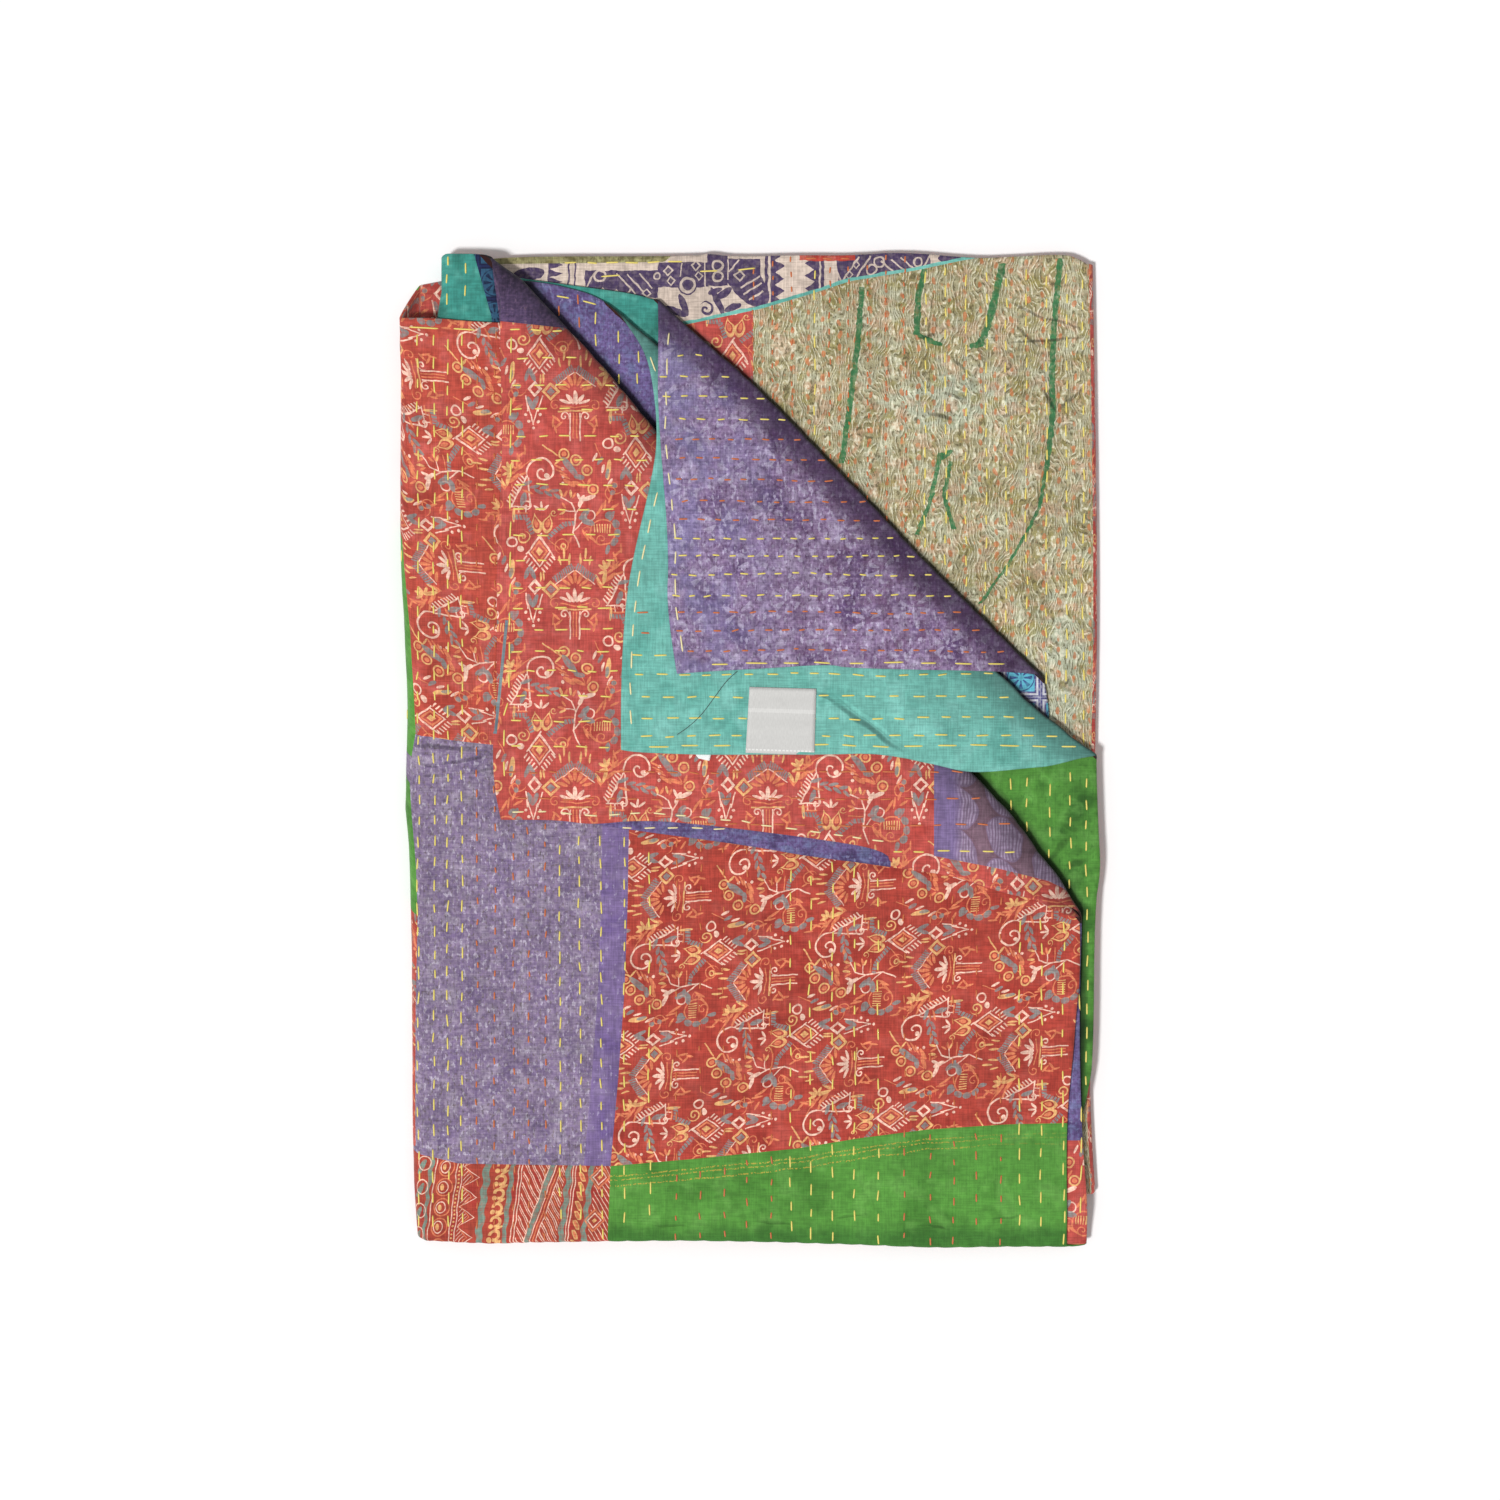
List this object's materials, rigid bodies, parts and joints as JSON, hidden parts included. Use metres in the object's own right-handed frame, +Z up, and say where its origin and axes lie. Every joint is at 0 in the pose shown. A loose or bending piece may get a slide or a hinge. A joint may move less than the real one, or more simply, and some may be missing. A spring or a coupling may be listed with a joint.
{
  "type": "folded kantha quilt",
  "caption": "Stitched patchwork quilt folded into a flat packet, its top corners turned down in overlapping triangles.",
  "frame": {"origin": "centre of the folded packet's outline, on the surface it lies on", "axes": "+Z up, +Y from the folded bottom edge towards the open top edge, +X from the folded left edge towards the open right edge"},
  "size_m": [0.553, 0.7886, 0.0352],
  "materials": {
    "patchwork_cotton": "hand-stitched printed cotton and silk, lightly puckered",
    "label_tape": "woven grey tape",
    "care_tape": "white printed tape, left blank"
  },
  "bodies": {
    "root": {"quilt": "patchwork_cotton", "label": "label_tape", "care_label": "care_tape"}
  },
  "joints": []
}
